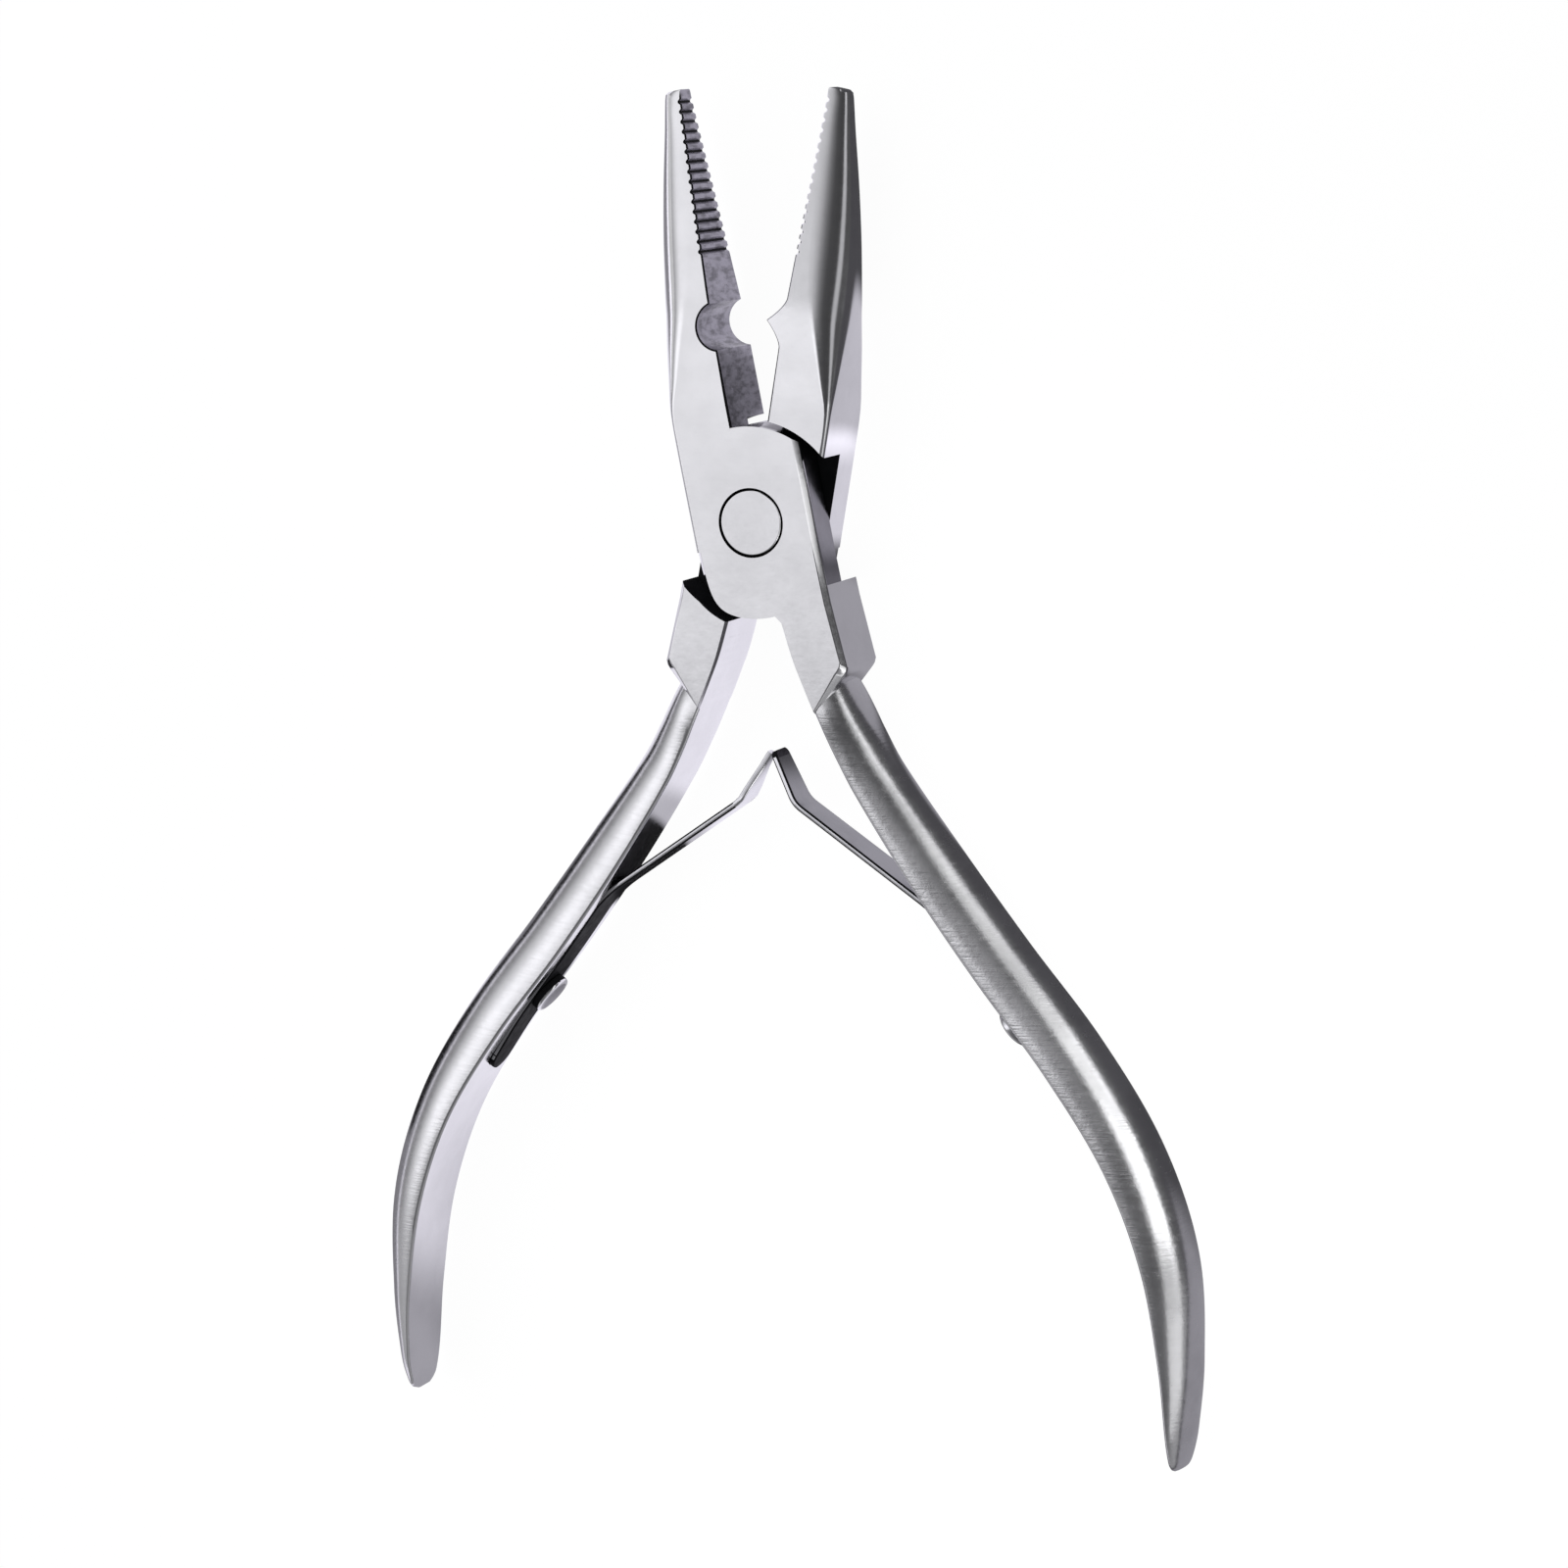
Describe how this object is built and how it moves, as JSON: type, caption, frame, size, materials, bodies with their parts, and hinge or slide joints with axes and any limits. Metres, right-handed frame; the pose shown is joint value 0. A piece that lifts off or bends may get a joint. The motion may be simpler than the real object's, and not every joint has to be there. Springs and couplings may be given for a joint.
{
  "type": "crimping pliers",
  "caption": "Slim lap-joint crimping pliers with serrated tapered jaws, a notch and a facing pointed tooth for crimping beads, bare steel handles and a hooked double leaf spring.",
  "frame": {"origin": "centre of the pivot rivet's rear end face, on the table plane", "axes": "+Y towards the jaws along the midline, -Y towards the handles, +Z along the pivot axis out of the front face, +X towards the front half's handle"},
  "size_m": [0.0888, 0.1347, 0.0084],
  "materials": {
    "forged_steel": "polished bright with faint cross grinding on the handles",
    "spring_steel": "smooth bright strip",
    "turned_steel": "fine turned"
  },
  "bodies": {
    "front": {"front_half": "forged_steel", "pivot_rivet": "turned_steel", "right_spring_screw": "turned_steel"},
    "rear": {"rear_half": "forged_steel", "left_spring_screw": "turned_steel"},
    "right_leaf": {"right_spring_leaf": "spring_steel"},
    "left_leaf": {"left_spring_leaf": "spring_steel"}
  },
  "joints": [
    {"name": "pivot", "type": "hinge", "parent": "front", "child": "rear", "pos_m": [0, 0, 0.0042], "axis": [0, 0, 1], "range_deg": [0, 21], "stiffness_Nm_per_rad": 0.5},
    {"name": "right_flexure", "type": "hinge", "parent": "front", "child": "right_leaf", "pos_m": [0.01765, -0.03902, 0.0042], "axis": [0, 0, 1], "range_deg": [-12.6, 0], "deforming": ["right_spring_leaf"]},
    {"name": "left_flexure", "type": "hinge", "parent": "rear", "child": "left_leaf", "pos_m": [-0.01765, -0.03902, 0.0042], "axis": [0, 0, 1], "range_deg": [0, 12.6], "deforming": ["left_spring_leaf"]}
  ],
  "couplings": [
    {"joint": "right_flexure", "follows": "pivot", "ratio": -0.59},
    {"joint": "left_flexure", "follows": "pivot", "ratio": 0.58}
  ]
}
